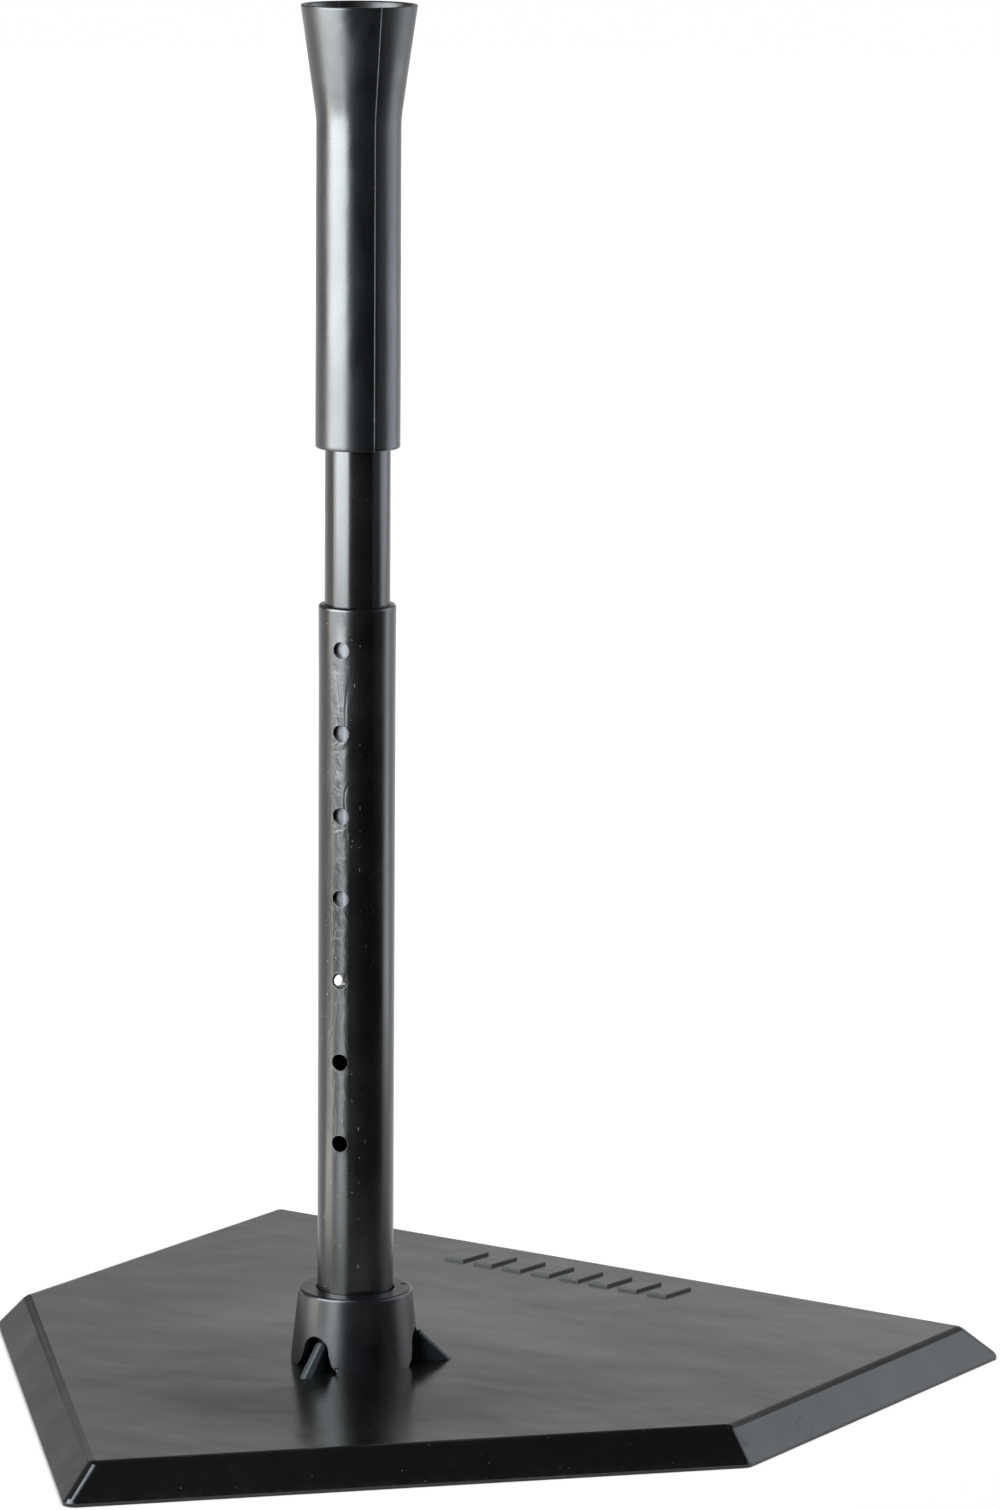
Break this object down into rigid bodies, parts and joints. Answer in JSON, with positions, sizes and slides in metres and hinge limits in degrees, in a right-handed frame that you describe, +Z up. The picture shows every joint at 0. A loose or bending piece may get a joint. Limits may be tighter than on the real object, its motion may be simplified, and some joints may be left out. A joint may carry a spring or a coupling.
{
  "type": "batting tee",
  "caption": "Batting tee: bevelled rubber home plate, telescoping round post with a line of height holes and a snap button, and a rubber sleeve flared into a ball cup.",
  "frame": {"origin": "middle of the plate's footprint, on the floor", "axes": "+Z up along the post, -Y towards the plate's point, +X along its long straight edge"},
  "size_m": [0.4318, 0.4586, 0.6534],
  "materials": {
    "base_rubber": "satin moulded rubber, faintly mottled",
    "socket_plastic": "moulded black plastic",
    "collar_plastic": "satin black plastic",
    "fastener_steel": "zinc plated steel",
    "lower_tube_plastic": "satin black tube",
    "plug_plastic": "moulded black plastic",
    "upper_tube_plastic": "gloss black tube",
    "sleeve_rubber": "satin black rubber",
    "spring_steel": "spring steel",
    "button_chrome": "polished bright steel"
  },
  "bodies": {
    "stand": {"base": "base_rubber", "post_socket": "socket_plastic", "collar": "collar_plastic", "collar_screws": "fastener_steel", "lower_tube": "lower_tube_plastic", "tube_plug": "plug_plastic", "captive_nut": "fastener_steel", "base_bolt": "fastener_steel", "base_washer": "fastener_steel"},
    "upper_post": {"upper_tube": "upper_tube_plastic", "ball_sleeve": "sleeve_rubber", "snap_spring": "spring_steel"},
    "button": {"snap_button": "button_chrome"}
  },
  "joints": [
    {"name": "height_slide", "type": "slide", "parent": "stand", "child": "upper_post", "axis": [0, 0, 1], "range_m": [-0.0776, 0.1552]},
    {"name": "button_press", "type": "slide", "parent": "upper_post", "child": "button", "axis": [-0.1685, 0.9857, 0], "range_m": [0, 0.0045], "stiffness_N_per_m": 1500, "deforming": ["snap_spring"]}
  ]
}
